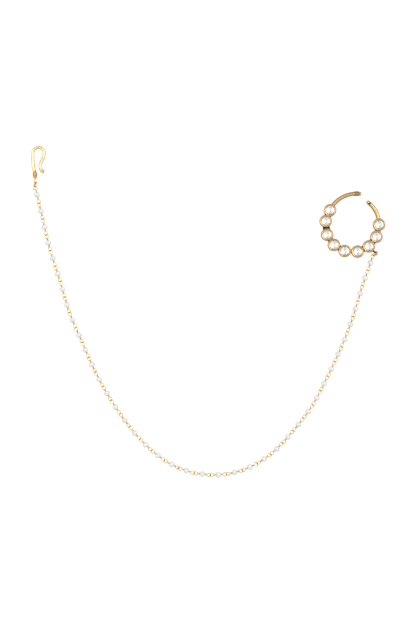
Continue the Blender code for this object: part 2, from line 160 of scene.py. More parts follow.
# Where a step or a stain fades in: before and after its edge
TIP_STEP = (-0.00006, 0.00002)
SLEEVE_STEP = (-0.00005, 0.00005)
STAIN_START = (-0.0002, 0.0001)
STAIN_END = (-0.0004, 0.0006)

# Eyelet and jump ring
EYELET_SETTING = 7
EYELET_ANGLE = math.radians(-45)
EYELET_RING_RADIUS = 0.00065
EYELET_WIRE = 0.0005
EYELET_WIRE_GROWTH = 1.25
EYELET_DARK_SIDE = math.radians(110)
LUG_LENGTH = 0.00105
LUG_WIDTH = 0.0009
LUG_TAPER = (0.6, 0.8, 0.9, 1.0, 1.1)
SOLDER_RINGS = 12

# Drops of solder on the lug: (section of its taper, radius as a share of its width)
LUG_SOLDER = ((0, 0.42), (3, 0.6))

JUMP_RING_RADIUS = 0.00085
JUMP_RING_WIRE = 0.0005
JUMP_RING_HEADING = math.radians(-142)
JUMP_RING_LEAN = math.radians(25)

# The chain
PEARL_COUNT = 40
PEARL_DIAMETER = 0.003
PEARL_LENGTH = 0.0025
LINK_PITCH = 0.00728
FIRST_PIN_EXTRA = 0.0005
EYE_RADIUS = 0.000885
EYE_WIRE = 0.00038
EYE_ROLL = math.radians(30)
EYE_SECTIONS = 10
WIRE_SIDES = 5
EYE_OVERLAP = 0.00007
PIECE_GAP = 0.0001
END_CLEARANCE = 0.00006

# How far the chain strays to its side from a plain catenary, at even steps along it
CHAIN_SWAY = (
    0.0, -0.00005, -0.0004, 0.0001, -0.0004, 0.0003, 0.0002,
    0.00035, 0.0003, 0.0, -0.0003, -0.0001, -0.0005, -0.0005,
    0.0001, -0.0002, 0.0003, 0.0002, 0.0002, 0.0007, 0.0,
)

BISECTIONS = 200
CATENARY_RANGE = 100
PEARL_SEGMENTS = 36
PEARL_RINGS = 22
PEARL_SPREAD = (0.97, 1.0)
PEARL_UNREST = 0.007
PEARL_UNREST_SCALE = 500
PEARL_SEED_REACH = 50
DRILL_RADIUS = 0.0003
DRILL_DIMPLE = 0.00009
DRILL_SPAN = (0.0, 0.34)
PIN_IN_PEARL = 0.0004
NECK_IN_EYE_SHARE = 0.2
PEARL_MOUTH = 0.0001
WRAP_WIRE = 0.00024
WRAP_TURNS = 2.6
WRAP_RADIUS = 0.0003
WRAP_STEPS = 14
WRAP_MARGIN = 0.00008
WRAP_TIP_SHARE = 0.4

# The hair hook
HOOK_REACH = 0.1423
HOOK_RISE = 0.0178
HOOK_WIRE = 0.0014
HOOK_HEIGHT = 0.0166
BIGHT_RADIUS = 0.0026
BIGHT_ACROSS = 0.00137
HOOK_COLLAR_DIAMETER = 0.0019
HOOK_COLLAR_HEIGHT = 0.0049
HOOK_COLLAR_LENGTH = 0.0034
HOOK_NECK_DIAMETER = 0.00095
HOOK_EYE_RADIUS = 0.000675
HOOK_EYE_WIRE = 0.00055

# The hook's line: (share of the bight's radius across, share of the height up)
SHANK_POINTS = ((-0.05, 0.0), (-0.05, 0.11), (-0.085, 0.27), (-0.24, 0.39), (-0.4, 0.51), (-0.48, 0.7))
RETURN_POINTS = ((1.42, 0.75), (1.11, 0.643), (0.86, 0.545), (0.85, 0.45), (1.04, 0.377), (1.5, 0.315))

BIGHT_STEPS = 6
HOOK_FOOT_IN_EYE = 0.0002
HOOK_POINTS = 150
HOOK_SIDES = 24
ROUTE_STEPS = 20
BINDING_WIRE = 0.0004
BINDING_TURNS = 2.4
BINDING_STEPS = 16
BINDING_START = math.radians(200)
BINDING_FOOT = 0.0002
BINDING_LENGTH = 0.001
BINDING_RADIUS = 0.00062
BINDING_TAIL = Vector((-0.0009, -0.002, -0.0006))
BINDING_TAIL_STEPS = 8
BINDING_TAIL_ARCH = 0.0001

# Fineness of the small wires and drops: (round the form, round the wire)
EYELET_MESH = (40, 14)
JUMP_RING_MESH = (48, 16)
PIN_EYE_MESH = (32, 10)
HOOK_EYE_MESH = (36, 12)
LUG_SIDES = 16
SOLDER_SEGMENTS = 24
NECK_SIDES = 10
WRAP_SIDES = 8
BINDING_SIDES = 10

# Wire this near upright takes another side; edges sharper than these stay sharp
NEARLY_UPRIGHT = 0.02
SMOOTH_ANGLE = math.radians(40)
FACET_ANGLE = math.radians(2)

# Age of the metal, from 0, rubbed bright, to 1, brown with oxide. The same number
# also carries painted shade: the settings' feet and outer walls, the lower sides of
# the arms and the hook, and the pearls' ends are darkened for shade. An age above 1
# is cut off at 1, which widens it. A span is where the age beside it fades, in
# shares of the height or radius, or in metres from the wall.
# Painted shade at the settings' feet and on their outer walls
FOOT_SHADE = 0.66
FOOT_SHADE_SPAN = (0.15, 0.95)
OUTER_WALL_SHADE = 0.7
OUTER_WALL_SHADE_SPAN = (-0.0002, 0.0)
LIP_AGE = 0.2
LIP_RUB = 0.8
LIP_SPAN = (0.75, 1.0)
# Painted shade on the lower sides of the arms' wire
ARM_SIDE_SHADE = 0.75
ARM_SIDE_SHADE_SPAN = (0.3, 0.95)
ARM_STAIN_TOP = 0.45
# How much more a stain darkens on the sides, where shade is painted
ARM_STAIN_IN_SHADE = 0.9
SLEEVE_AGE = 0.9
GROOVE_AGE = 2.2
SEAM_AGE = 0.3
LUG_AGE = 0.9
SOLDER_AGE = 0.85
EYELET_AGES = (0.1, 0.9)
EYELET_SPAN = (-0.2, 0.8)
JUMP_RING_AGE = 0.15
EYE_AGES = (0.25, 0.55)
EYE_SPAN = (0.4, 1.0)
NECK_AGE = 0.3
WRAP_AGE = 0.1
# Painted shade on the pearls: darker towards their drill holes
MOUTH_SHADE = 0.3
MOUTH_SHADE_SPAN = (0.3, 0.8)
HOLE_SHADE = 0.5
HOLE_SHADE_SPAN = (0.12, 0.3)
HOOK_COLLAR_AGE = 0.7
HOOK_NECK_AGE = 0.12
# Painted shade on the lower sides of the hook's wire
HOOK_SIDE_SHADE = 0.5
HOOK_SIDE_SHADE_SPAN = (0.15, 0.95)
HOOK_EYE_AGE = 0.35
BINDING_AGE = 0.3
TAIL_AGES = (0.35, 0.99)

# Golds: (name, rubbed, used and aged colour, rubbed and aged roughness, unrest); the
# aged colour also stands for painted shade
OLD_GOLD = ("old_gold_aged_and_shaded", (0.62, 0.39, 0.165), (0.4, 0.23, 0.09), (0.04, 0.017, 0.007), 0.26, 0.5, 1.0)
YELLOW_GOLD = ("yellow_gold_wire", (0.84, 0.57, 0.17), (0.64, 0.4, 0.09), (0.2, 0.1, 0.02), 0.2, 0.4, 1.0)
PALE_GOLD = ("pale_gold_wire", (0.76, 0.62, 0.34), (0.64, 0.39, 0.12), (0.3, 0.14, 0.04), 0.36, 0.42, 0.25)
GOLD_STOPS = (0.0, 0.38, 0.95)
GOLD_CLOUDS = 0.55
GOLD_SPECKS = 0.22
GOLD_RELIEF = 0.18
GOLD_RELIEF_DEPTH = 0.00004

# Other colours; each ramp is a row of (place, colour). A gloss is the roughness
# and what the surface's clouds add to it.
PEARL_TONES = ((0.3, (0.58, 0.57, 0.565)), (0.5, (0.645, 0.64, 0.635)), (0.72, (0.635, 0.64, 0.65)))
PEARL_CLOUD = (0.66, 0.635, 0.6)
PEARL_CLOUD_SHARE = 0.35
PEARL_GLOSS = (0.09, 0.08)
PEARL_COAT = 0.12
PEARL_COAT_ROUGHNESS = 0.1
PEARL_RELIEF = 0.04
# Colour of the painted shade towards the pearls' drill holes
PEARL_SHADE = (0.2, 0.16, 0.12)
STONE_TINTS = ((0.975, 0.97, 0.95), (0.965, 0.975, 0.95), (0.98, 0.97, 0.955)) * 3
STONE_HAZE = (0.93, 0.93, 0.93)
STONE_HAZE_SHARE = 0.15
STONE_GLOSS = (0.01, 0.05)
FOIL_SILVERS = ((0.25, (0.84, 0.86, 0.8)), (0.5, (0.9, 0.89, 0.83)), (0.8, (0.9, 0.87, 0.82)))
FOIL_DULL = (0.3, 0.33, 0.33)
FOIL_METAL_SHARE = 0.55
FOIL_GLOSS = (0.1, 0.15)
FOIL_RELIEF = 0.1
RELIEF_DEPTH = 0.00003
GLASS_IOR = 1.52
PEARL_IOR = 1.5
TABLE_GREY = (0.28, 0.28, 0.28)
TABLE_GLOW = 0.8
ROOM_HEIGHTS = ((0.05, (0.22, 0.215, 0.21)), (0.45, (0.86, 0.86, 0.86)), (0.8, (1.16, 1.16, 1.17)))
ROOM_SIDES = ((0.04, (0.74, 0.73, 0.71)), (0.3, (1.14, 1.14, 1.14)))

# Lights: (name, place, width, watts, colour)
LIGHTS = (
    ("key", (0.75, 0.35, 0.95), 0.6, 4.5, (1, 0.985, 0.96)),
    ("fill", (-0.75, 0.15, 1.0), 0.6, 3.2, (1, 1, 1)),
)

# Table top
TABLE_HALF = 3
TABLE_DROP = 0.00002

# Camera: straight above, photo up along +Y, with the hoop this far from the middle
CAMERA_LENS = 100
SENSOR = 36
VIEW_HEIGHT = 0.2808
HOOP_IN_VIEW = (0.064773, 0.038938)

CHAIN_HEIGHT = PEARL_DIAMETER / 2
UP = Vector((0, 0, 1))


def polar(radius, angle, height=0.0):
    return Vector((radius * math.cos(angle), radius * math.sin(angle), height))


def hoop_centre():
    """From the first stone's node back to the hoop's middle, on the ground."""
    low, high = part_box("stone_1")
    middle = (Vector(low) + Vector(high)) / 2
    centre = middle - polar(HOOP_RADIUS, FIRST_SETTING_ANGLE)
    return Vector((centre.x, centre.y, 0))


CENTRE = hoop_centre()


def smoothstep(low, high, value):
    share = max(0.0, min(1.0, (value - low) / (high - low)))
    return share * share * (3 - 2 * share)


def fade_in(value, edge, spread):
    """Nothing before an edge, one after it, and between them across the spread."""
    return smoothstep(edge + spread[0], edge + spread[1], value)


def bump_at(value, width):
    """One at zero, fading to nothing a few widths away."""
    return math.exp(-(value / width) ** 2)


# Materials

class Nodes:
    """A short way to build the node tree of a material or of the world."""

    def __init__(self, owner):
        self.owner = owner
        owner.use_nodes = True
        self.tree = owner.node_tree
        self.shader = self.tree.nodes.get("Principled BSDF")

    def add(self, kind, **values):
        node = self.tree.nodes.new(kind)
        for key, value in values.items():
            setattr(node, key, value)
        return node

    def link(self, source, target):
        self.tree.links.new(source, target)

    def noise(self, scale, detail, roughness, stretch=(1, 1, 1)):
        """Noise in the object's own metres."""
        place = self.add("ShaderNodeTexCoord")
        mapping = self.add("ShaderNodeMapping")
        mapping.inputs["Scale"].default_value = stretch
        texture = self.add("ShaderNodeTexNoise")
        texture.inputs["Scale"].default_value = scale
        texture.inputs["Detail"].default_value = detail
        texture.inputs["Roughness"].default_value = roughness
        self.link(place.outputs["Object"], mapping.inputs["Vector"])
        self.link(mapping.outputs["Vector"], texture.inputs["Vector"])
        return texture.outputs["Fac"]

    def ramp(self, factor, stops):
        """A colour ramp through (place, colour) stops."""
        node = self.add("ShaderNodeValToRGB")
        band = node.color_ramp
        while len(band.elements) < len(stops):
            band.elements.new(0.5)
        for element, (place, colour) in zip(band.elements, stops):
            element.position = place
            element.color = (*colour, 1)
        self.link(factor, node.inputs["Fac"])
        return node.outputs["Color"]

    def math(self, operation, first, second=None, third=None, clamp=False):
        node = self.add("ShaderNodeMath", operation=operation, use_clamp=clamp)
        for socket, value in zip(node.inputs, (first, second, third)):
            if value is None:
                continue
            if isinstance(value, (int, float)):
                socket.default_value = value
            else:
                self.link(value, socket)
        return node.outputs["Value"]

    def mix(self, factor, first, second, blend="MIX"):
        node = self.add("ShaderNodeMix", data_type="RGBA", blend_type=blend)
        for name, value in (("Factor", factor), ("A", first), ("B", second)):
            socket = node.inputs[name]
            if isinstance(value, (int, float)):
                socket.default_value = value
            elif isinstance(value, tuple):
                socket.default_value = (*value, 1)
            else:
                self.link(value, socket)
        return node.outputs["Result"]

    def attribute(self, name):
        return self.add("ShaderNodeAttribute", attribute_name=name).outputs["Fac"]

    def gloss(self, cloud, gloss):
        smooth, added = gloss
        self.link(self.math("MULTIPLY_ADD", cloud, added, smooth), self.shader.inputs["Roughness"])

    def bump(self, height, strength, distance):
        node = self.add("ShaderNodeBump")
        node.inputs["Strength"].default_value = strength
        node.inputs["Distance"].default_value = distance
        self.link(height, node.inputs["Height"])
        self.link(node.outputs["Normal"], self.shader.inputs["Normal"])


def aged_and_shaded_metal(name, bright, mid, dark, roughness, aged_roughness, unrest):
    """Gold-plated brass: bright where it is rubbed, brown where it has aged, and darker where shade is
    painted on.
    """
    nodes = Nodes(bpy.data.materials.new(name))
    cloud = nodes.noise(scale=900, detail=5, roughness=0.6)
    speck = nodes.noise(scale=5200, detail=2, roughness=0.6)
    # The age attribute darkens the gold for oxide and also for painted shade
    age_and_shade = nodes.attribute("age_and_shade")
    clouds = nodes.math("SUBTRACT", cloud, 0.5)
    specks = nodes.math("SUBTRACT", speck, 0.5)
    cloudy = nodes.math("MULTIPLY_ADD", clouds, GOLD_CLOUDS * unrest, age_and_shade)
    spotted = nodes.math("MULTIPLY_ADD", specks, GOLD_SPECKS * unrest, cloudy, clamp=True)
    colour = nodes.ramp(spotted, tuple(zip(GOLD_STOPS, (bright, mid, dark))))
    nodes.link(colour, nodes.shader.inputs["Base Color"])
    nodes.shader.inputs["Metallic"].default_value = 1.0
    rough = nodes.math("MULTIPLY_ADD", spotted, aged_roughness - roughness, roughness)
    nodes.link(rough, nodes.shader.inputs["Roughness"])
    scratches = nodes.noise(scale=2600, detail=4, roughness=0.7, stretch=(1, 1, 3))
    relief = nodes.math("MULTIPLY_ADD", speck, 0.5, scratches)
    nodes.bump(relief, GOLD_RELIEF * unrest, GOLD_RELIEF_DEPTH)
    return nodes.owner


def pearl_material():
    """Imitation pearl: pale grey-white coat with a soft lustre."""
    nodes = Nodes(bpy.data.materials.new("pearl_lustre"))
    tone = nodes.noise(scale=420, detail=2, roughness=0.5)
    cloud = nodes.noise(scale=1500, detail=3, roughness=0.6)
    cloudy = nodes.math("MULTIPLY", cloud, PEARL_CLOUD_SHARE)
    tinted = nodes.mix(cloudy, nodes.ramp(tone, PEARL_TONES), PEARL_CLOUD)
    # Painted shade: darker towards the drill holes
    shaded_pearl = nodes.mix(nodes.attribute("age_and_shade"), tinted, PEARL_SHADE)
    nodes.link(shaded_pearl, nodes.shader.inputs["Base Color"])
    nodes.gloss(cloud, PEARL_GLOSS)
    nodes.shader.inputs["IOR"].default_value = PEARL_IOR
    nodes.shader.inputs["Coat Weight"].default_value = PEARL_COAT
    nodes.shader.inputs["Coat Roughness"].default_value = PEARL_COAT_ROUGHNESS
    nodes.bump(cloud, PEARL_RELIEF, RELIEF_DEPTH)
    return nodes.owner


def crystal_material(name, tint):
    """Clear glass of the stone's front."""
    nodes = Nodes(bpy.data.materials.new(name))
    haze = nodes.noise(scale=1800, detail=2, roughness=0.5)
    colour = nodes.mix(nodes.math("MULTIPLY", haze, STONE_HAZE_SHARE), tint, STONE_HAZE)
    nodes.link(colour, nodes.shader.inputs["Base Color"])
    nodes.gloss(haze, STONE_GLOSS)
    nodes.shader.inputs["IOR"].default_value = GLASS_IOR
    nodes.shader.inputs["Transmission Weight"].default_value = 1.0
    return nodes.owner


def foil_material():
    """Silver foil on the stone's back, a little tarnished in patches, with painted reflections in duller
    fans above and below the middle.
    """
    nodes = Nodes(bpy.data.materials.new("stone_foil"))
    cloud = nodes.noise(scale=1100, detail=4, roughness=0.6)
    # The tone mixes in dull foil and the painted reflections
    colour = nodes.mix(nodes.attribute("tone"), nodes.ramp(cloud, FOIL_SILVERS), FOIL_DULL)
    nodes.link(colour, nodes.shader.inputs["Base Color"])
    nodes.shader.inputs["Metallic"].default_value = FOIL_METAL_SHARE
    nodes.gloss(cloud, FOIL_GLOSS)
    nodes.bump(cloud, FOIL_RELIEF, RELIEF_DEPTH)
    return nodes.owner


def floor_material():
    """White paper that is lit enough to go out of sight."""
    nodes = Nodes(bpy.data.materials.new("white_table"))
    nodes.shader.inputs["Base Color"].default_value = (*TABLE_GREY, 1)
    nodes.shader.inputs["Roughness"].default_value = 0.9
    nodes.shader.inputs["Specular IOR Level"].default_value = 0.0
    nodes.shader.inputs["Emission Color"].default_value = (1, 1, 1, 1)
    nodes.shader.inputs["Emission Strength"].default_value = TABLE_GLOW
    return nodes.owner


# Mesh building

class Piece:
    """A mesh in the making, with an age on each vertex, which stands for oxide and also for painted shade,
    and a tone on each face, which stands for dull foil and also for painted reflections.

    An age is given as a number or as a function of the place.
    """

    def __init__(self, name):
        self.name = name
        self.bm = bmesh.new()
        self.age_and_shade = self.bm.verts.layers.float.new("age_and_shade")
        self.tone = self.bm.faces.layers.float.new("tone")

    def vert(self, place, age_and_shade):
        vert = self.bm.verts.new(place)
        vert[self.age_and_shade] = max(0.0, min(1.0, age_and_shade(place) if callable(age_and_shade) else age_and_shade))
        return vert

    def ring(self, centre, across, up, radius, sides, age_and_shade):
        verts = []
        for index in range(sides):
            turn = math.tau * index / sides
            place = centre + radius * (math.cos(turn) * across + math.sin(turn) * up)
            verts.append(self.vert(place, age_and_shade))
        return verts

    def bridge(self, first, second):
        count = len(first)
        for i in range(count):
            j = (i + 1) % count
            self.bm.faces.new((first[i], first[j], second[j], second[i]))

    def loft(self, rings, closed=False):
        for first, second in zip(rings, rings[1:]):
            self.bridge(first, second)
        if closed:
            self.bridge(rings[-1], rings[0])
        else:
            self.bm.faces.new(rings[0][::-1])
            self.bm.faces.new(rings[-1])

    def tube(self, places, radii, ages_and_shades, sides):
        """A round wire along places, whose sections never turn half over."""
        rings = []
        for index, place in enumerate(places):
            before = places[max(index - 1, 0)]
            after = places[min(index + 1, len(places) - 1)]
            along = (after - before).normalized()
            across = along.cross(UP)
            if across.length < NEARLY_UPRIGHT:
                across = along.cross(Vector((0, 1, 0)))
            across.normalize()
            if rings and across.dot(last_across) < 0:
                across = -across
            last_across = across
            rings.append(self.ring(place, across, across.cross(along), radii[index], sides, ages_and_shades[index]))
        self.loft(rings)

    def torus(self, centre, axis, radius, wire, fineness, age_and_shade):
        """A closed ring of round wire. fineness is (segments, sides)."""
        segments, sides = fineness
        axis = axis.normalized()
        side = axis.orthogonal().normalized()
        other = axis.cross(side)
        rings = []
        for index in range(segments):
            turn = math.tau * index / segments
            radial = math.cos(turn) * side + math.sin(turn) * other
            rings.append(self.ring(centre + radius * radial, radial, axis, wire / 2, sides, age_and_shade))
        self.loft(rings, closed=True)

    def lathe(self, centre, profile, segments, age_and_shade):
        """A hammered round shape on a standing axis: profile is (radius, height)."""
        rings = []
        for radius, height in profile:
            ring = []
            for index in range(segments):
                turn = math.tau * index / segments
                place = centre + polar(radius, turn, height)
                place += polar(HAND_WORK * noise.noise(place * HAND_WORK_ROUND), turn)
                unrest = HAND_WORK * noise.noise(place * HAND_WORK_RISE + UP)
                place.z += unrest * height / SETTING_HEIGHT
                ring.append(self.vert(place, age_and_shade))
            rings.append(ring)
        self.loft(rings)

    def finish(self, materials, replaces, angle=SMOOTH_ANGLE):
        bmesh.ops.recalc_face_normals(self.bm, faces=self.bm.faces)
        mesh = bpy.data.meshes.new(self.name)
        self.bm.to_mesh(mesh)
        self.bm.free()
        for material in materials:
            mesh.materials.append(material)
        mesh.shade_smooth()
        mesh.set_sharp_from_angle(angle=angle)
        obj = bpy.data.objects.new(self.name, mesh)
        bpy.context.scene.collection.objects.link(obj)
        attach(obj, "root")
        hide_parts(*replaces)


# The hoop

def setting_angles():
    span = LAST_SETTING_ANGLE - FIRST_SETTING_ANGLE
    total = sum(PITCH_SHARES)
    angles = [FIRST_SETTING_ANGLE]
    for share in PITCH_SHARES:
        angles.append(angles[-1] + span * share / total)
    return angles


ANGLES = setting_angles()
SETTINGS = [CENTRE + polar(HOOP_RADIUS, angle) for angle in ANGLES]
CONTACTS = [(a + b) / 2 for a, b in zip(SETTINGS, SETTINGS[1:])]


def joint_darkening(place):
    """Darker round the places where two settings meet."""
    age_and_shade = 0.0
    for contact, strength in zip(CONTACTS, BRIDGE_DARKNESS):
        flat = Vector((place.x - contact.x, place.y - contact.y, 0)).length
        age_and_shade = max(age_and_shade, strength * bump_at(flat, SOLDER_REACH))
    return age_and_shade


def setting_age_and_shade(place):
    """Walls darken downwards and outwards, which is painted shade; the lip's crest is rubbed."""
    height = place.z / SETTING_HEIGHT
    own = min((place - centre).xy.length for centre in SETTINGS)
    # Painted shade: darker towards the foot and on the outer wall
    low = FOOT_SHADE * (1 - smoothstep(*FOOT_SHADE_SPAN, height))
    wall = OUTER_WALL_SHADE * fade_in(own, SETTING_RADIUS, OUTER_WALL_SHADE_SPAN)
    joint = joint_darkening(place) * (1 - LIP_RUB * smoothstep(*LIP_SPAN, height))
    return max(low, wall, LIP_AGE, joint)


def setting_profile():
    """The settings' section as (radius, height) pairs."""
    edges = {"axis": 0.0, "wall": SETTING_RADIUS, "stone": SETTING_RADIUS - RIM_WIDTH}
    levels = {"foot": 0.0, "lip": SETTING_HEIGHT + LIP_RISE, "seat": SETTING_HEIGHT - SEAT_DEPTH}
    return [(edges[edge] + out, levels[level] + up) for edge, out, level, up in SETTING_SECTION]


def add_bridge(piece, first, second, width, age_and_shade):
    """A short bar with rounded corners between two settings."""
    along = (second - first).normalized()
    across = UP.cross(along)
    reach = SETTING_RADIUS - RIM_WIDTH
    start = first + along * reach
    end = second - along * reach
    outline = []
    corner = BRIDGE_HEIGHT * BRIDGE_CORNER_SHARE
    corner_step = math.pi / 2 / (BRIDGE_CORNER_STEPS - 1)
    for sign_x, sign_z in ((1, 1), (-1, 1), (-1, -1), (1, -1)):
        for step in range(BRIDGE_CORNER_STEPS):
            turn = math.atan2(sign_z, sign_x) - math.pi / 4 + step * corner_step
            side = sign_x * (width / 2 - corner) + corner * math.cos(turn)
            rise = sign_z * (BRIDGE_HEIGHT / 2 - corner) + corner * math.sin(turn)
            outline.append((side, rise + BRIDGE_LIFT + BRIDGE_HEIGHT / 2))
    rings = []
    for step in range(BRIDGE_SECTIONS):
        middle = start.lerp(end, step / (BRIDGE_SECTIONS - 1))
        rings.append([piece.vert(middle + across * side + UP * rise, age_and_shade) for side, rise in outline])
    piece.loft(rings)


def arm_path(root_angle, tip_angle, tip_radius):
    """From inside the end setting's wall round to the free tip."""
    root = CENTRE + polar(HOOP_RADIUS, root_angle, SETTING_HEIGHT / 2)
    places = []
    for step in range(ARM_STEPS + 1):
        share = step / ARM_STEPS
        radius = ARM_ROOT_RADIUS + (tip_radius - ARM_ROOT_RADIUS) * share
        angle = root_angle + (tip_angle - root_angle) * share
        place = CENTRE + polar(radius, angle, SETTING_HEIGHT / 2)
        if (place - root).length > SETTING_RADIUS - RIM_WIDTH / 3:
            places.append(place)
    return places


def walked_back(places):
    """Distance of each place from the last one, along the path."""
    distances = [0.0]
    for a, b in zip(places[::-1], places[-2::-1]):
        distances.append(distances[-1] + (a - b).length)
    return distances[::-1]


def rounded_tip(distance, radius):
    """Radius of a domed end at a distance from its point."""
    dome = radius * TIP_DOME_SHARE
    if distance >= dome:
        return radius
    round_part = math.sqrt(max(0.0, 1 - (1 - distance / dome) ** 2))
    return radius * round_part * (1 - TIP_POINT_SHARE) + radius * TIP_POINT_SHARE


def wire_side_shade(place):
    """Painted shade: wire is darker on its lower sides than along its top."""
    height = (place.z - SETTING_HEIGHT / 2) / (ARM_DIAMETER / 2)
    return ARM_SIDE_SHADE * (1 - smoothstep(*ARM_SIDE_SHADE_SPAN, height))


def left_radius(back):
    """Radius of the left arm at a distance back from its tip."""
    past_tip = fade_in(back, TIP_LENGTH, TIP_STEP)
    in_sleeve = past_tip * (1 - fade_in(back, SLEEVE_LENGTH, SLEEVE_STEP))
    radius = ARM_DIAMETER / 2 + SLEEVE_GROWTH * in_sleeve - TIP_SHRINK * (1 - past_tip)
    radius -= SEAM_DEPTH * bump_at(back - LEFT_SEAM, SEAM_WIDTH / 2)
    return rounded_tip(back, radius)


def left_stain(back):
    """The left arm's stains: along its sleeve and at its seam."""
    sleeve = fade_in(back, TIP_LENGTH, STAIN_START) * (1 - fade_in(back, SLEEVE_LENGTH, STAIN_END))
    return max(SLEEVE_AGE * sleeve, SEAM_AGE * bump_at(back - LEFT_SEAM, SEAM_WIDTH))


def right_radius(back):
    """Radius of the right arm at a distance back from its tip."""
    groove_middle = TIP_LENGTH + GROOVE_LENGTH / 2
    groove = GROOVE_DEPTH_SHARE * bump_at(back - groove_middle, GROOVE_LENGTH / 2)
    radius = ARM_DIAMETER / 2 - TIP_SHRINK * groove
    radius -= SEAM_DEPTH * bump_at(back - RIGHT_SEAM, SEAM_WIDTH / 2)
    return rounded_tip(back, radius)


def right_stain(back):
    """The right arm's stains: in its groove and at its seam."""
    reach = GROOVE_LENGTH * GROOVE_STAIN_SHARE
    groove = GROOVE_AGE * bump_at(back - TIP_LENGTH - reach, reach)
    return max(groove, SEAM_AGE * bump_at(back - RIGHT_SEAM, SEAM_WIDTH))


def stained(stain):
    """The age of an arm's wire where it has a stain, which is strongest on its sides, where shade is
    painted.
    """
    def age_and_shade(place):
        side = wire_side_shade(place)
        return max(side, stain * (ARM_STAIN_TOP + ARM_STAIN_IN_SHADE * side))
    return age_and_shade


def add_arm(piece, places, radius_at, stain_at):
    back = walked_back(places)
    radii = [radius_at(distance) for distance in back]
    piece.tube(places, radii, [stained(stain_at(distance)) for distance in back], ARM_SIDES)


def eyelet_age(place):
    """Dark along the upper left, where the solder ran, and rubbed on the other side."""
    off = (place - eyelet_centre()).dot(polar(1, EYELET_DARK_SIDE)) / EYELET_RING_RADIUS
    rubbed, dark = EYELET_AGES
    return rubbed + (dark - rubbed) * smoothstep(*EYELET_SPAN, off)


def add_solder(piece, centre, radius):
    """A rounded drop of darkened solder."""
    profile = []
    for step in range(1, SOLDER_RINGS):
        turn = math.pi * (step / SOLDER_RINGS - 0.5)
        profile.append((radius * math.cos(turn), radius * math.sin(turn)))
    piece.lathe(centre, profile, SOLDER_SEGMENTS, SOLDER_AGE)


def eyelet_centre():
    setting = SETTINGS[EYELET_SETTING - 1] + UP * CHAIN_HEIGHT
    return setting + polar(SETTING_RADIUS + LUG_LENGTH + EYELET_RING_RADIUS, EYELET_ANGLE)


def lug_path():
    """From the eyelet's wire in to the middle of the setting's wall."""
    setting = SETTINGS[EYELET_SETTING - 1] + UP * CHAIN_HEIGHT
    reach = SETTING_RADIUS + LUG_LENGTH
    length = LUG_LENGTH + RIM_WIDTH / 2
    steps = len(LUG_TAPER)
    return [setting + polar(reach - length * step / (steps - 1), EYELET_ANGLE) for step in range(steps)]


def make_hoop(material):
    piece = Piece("hoop_metal")
    for place in SETTINGS:
        piece.lathe(place, setting_profile(), SETTING_SEGMENTS, setting_age_and_shade)
    for first, second, width, age_and_shade in zip(SETTINGS, SETTINGS[1:], BRIDGE_WIDTHS, BRIDGE_DARKNESS):
        add_bridge(piece, first, second, width, age_and_shade)
    add_arm(piece, arm_path(ANGLES[0], LEFT_TIP_ANGLE, LEFT_TIP_RADIUS), left_radius, left_stain)
    add_arm(piece, arm_path(ANGLES[-1], RIGHT_TIP_ANGLE, RIGHT_TIP_RADIUS), right_radius, right_stain)
    lug = lug_path()
    piece.tube(lug, [LUG_WIDTH / 2 * share for share in LUG_TAPER], [LUG_AGE] * len(lug), LUG_SIDES)
    wire = EYELET_WIRE * EYELET_WIRE_GROWTH
    piece.torus(eyelet_centre(), UP, EYELET_RING_RADIUS, wire, EYELET_MESH, eyelet_age)
    for section, share in LUG_SOLDER:
        add_solder(piece, lug[section], LUG_WIDTH * share)
    piece.finish([material], ["hoop"])


# Stones

def foil_tone_and_reflection(off):
    """How dull the foil is behind a facet, by its place in the stone; the fans above and below the middle
    are painted reflections.
    """
    tone = random.uniform(*FOIL_TONES)
    if abs(off.y) > FAN_START_SHARE and abs(off.x) < FAN_WIDTH_SHARE:
        # Painted reflection: duller fans above and below the middle
        tone += random.uniform(*FAN_REFLECTION_TONES)
    return tone


def add_stone_facets(piece, radius):
    """Crown with table, stars and girdle facets over a shallow foiled back."""
    girdle_top = SETTING_HEIGHT
    girdle = girdle_top - GIRDLE_HEIGHT
    sides = CROWN_SIDES
    step = math.tau / sides
    table_z = girdle_top + STONE_RISE
    star_radius = radius * STAR_SHARE
    star_z = girdle_top + STONE_RISE * STAR_RISE_SHARE
    table = [piece.vert(polar(radius * TABLE_SHARE, i * step, table_z), 0) for i in range(sides)]
    stars = [piece.vert(polar(star_radius, (i + 0.5) * step, star_z), 0) for i in range(sides)]
    rim = [piece.vert(polar(radius, i * step / 2, girdle_top), 0) for i in range(2 * sides)]
    low_rim = [piece.vert(polar(radius, i * step / 2, girdle), 0) for i in range(2 * sides)]
    lower_radius = radius * FOIL_RING_SHARE
    lower_z = girdle - FOIL_DROP * FOIL_RING_DROP_SHARE
    lower = [piece.vert(polar(lower_radius, (i + 0.5) * step, lower_z), 0) for i in range(sides)]
    point = piece.vert(UP * (girdle - FOIL_DROP), 0)
    new_face = piece.bm.faces.new
    new_face(table)
    for i in range(sides):
        j = (i + 1) % sides
        k = (2 * i + 2) % (2 * sides)
        new_face((table[i], table[j], stars[i]))
        new_face((table[i], stars[i], stars[i - 1]))
        new_face((stars[i], rim[2 * i], stars[i - 1]))
        new_face((stars[i], rim[2 * i + 1], rim[2 * i]))
        new_face((stars[i], rim[k], rim[2 * i + 1]))
        new_face((low_rim[2 * i], lower[i], point, lower[i - 1])).material_index = 1
        new_face((low_rim[2 * i], low_rim[2 * i + 1], lower[i])).material_index = 1
        new_face((low_rim[2 * i + 1], low_rim[k], lower[i])).material_index = 1
    for i in range(2 * sides):
        j = (i + 1) % (2 * sides)
        new_face((rim[i], rim[j], low_rim[j], low_rim[i])).material_index = 1


